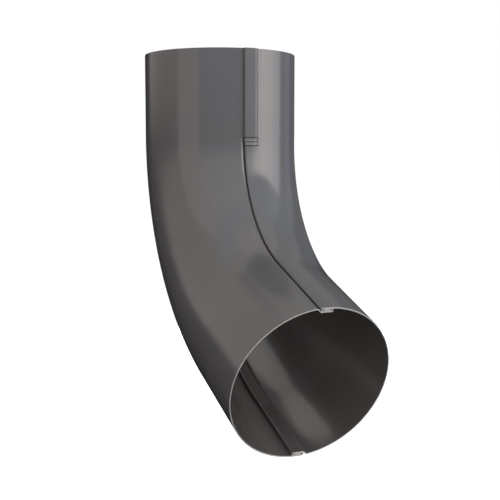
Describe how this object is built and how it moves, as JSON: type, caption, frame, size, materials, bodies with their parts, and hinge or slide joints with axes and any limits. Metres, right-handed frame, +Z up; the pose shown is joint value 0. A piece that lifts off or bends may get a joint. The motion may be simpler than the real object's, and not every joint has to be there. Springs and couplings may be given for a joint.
{
  "type": "downspout elbow",
  "caption": "Pressed steel downspout elbow of lock-seamed half shells, with a socket on top, a smooth bend and a plain spigot outlet.",
  "frame": {"origin": "centre of the socket's mouth, at the top", "axes": "+Z up, out of the socket along its axis; the tube turns towards -Y, and X = 0 is the plane of the bend"},
  "size_m": [0.0896, 0.1812, 0.2124],
  "materials": {
    "coated_steel": "satin"
  },
  "bodies": {
    "root": {"right_half_shell": "coated_steel", "left_half_shell": "coated_steel"}
  },
  "joints": []
}
